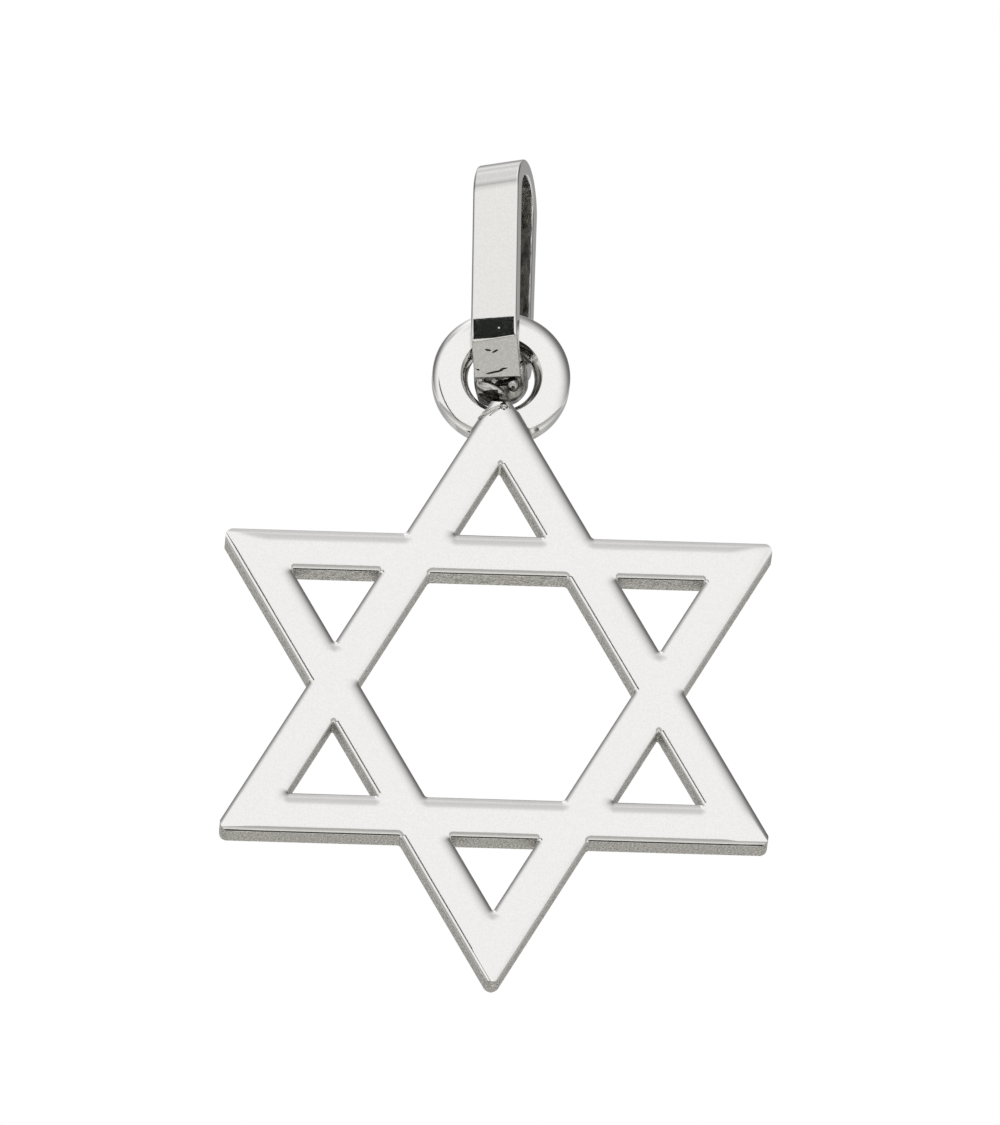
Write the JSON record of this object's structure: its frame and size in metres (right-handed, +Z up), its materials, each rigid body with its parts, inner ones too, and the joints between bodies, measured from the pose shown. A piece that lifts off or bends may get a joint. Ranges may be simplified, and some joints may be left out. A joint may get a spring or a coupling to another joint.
{
  "type": "star of david pendant",
  "caption": "Open six-pointed star pendant of flat polished bars, hung by a soldered eyelet ring from a folded strip bail that slides on a chain.",
  "frame": {"origin": "inside of the bail's arch, where the chain bears on it, straight above the middle of the star", "axes": "+Z up, along the pendant as it hangs; +Y to its back, square to the flat of the star, which faces -Y; +X to the viewer's right"},
  "size_m": [0.0154, 0.0027, 0.0251],
  "materials": {
    "polished_silver": "rhodium-plated sterling silver, front and back polished bright, the walls between the bars left satin from the casting",
    "bail_silver": "rhodium-plated sterling silver strip, polished outside, darker and scratched inside its loop and at its folded foot"
  },
  "bodies": {
    "bail": {"bail": "bail_silver"},
    "star": {"star": "polished_silver"}
  },
  "joints": [
    {"name": "star_swing", "type": "hinge", "parent": "bail", "child": "star", "pos_m": [0, 0, -0.00616], "axis": [0, 1, 0], "range_deg": [-90, 90]}
  ]
}
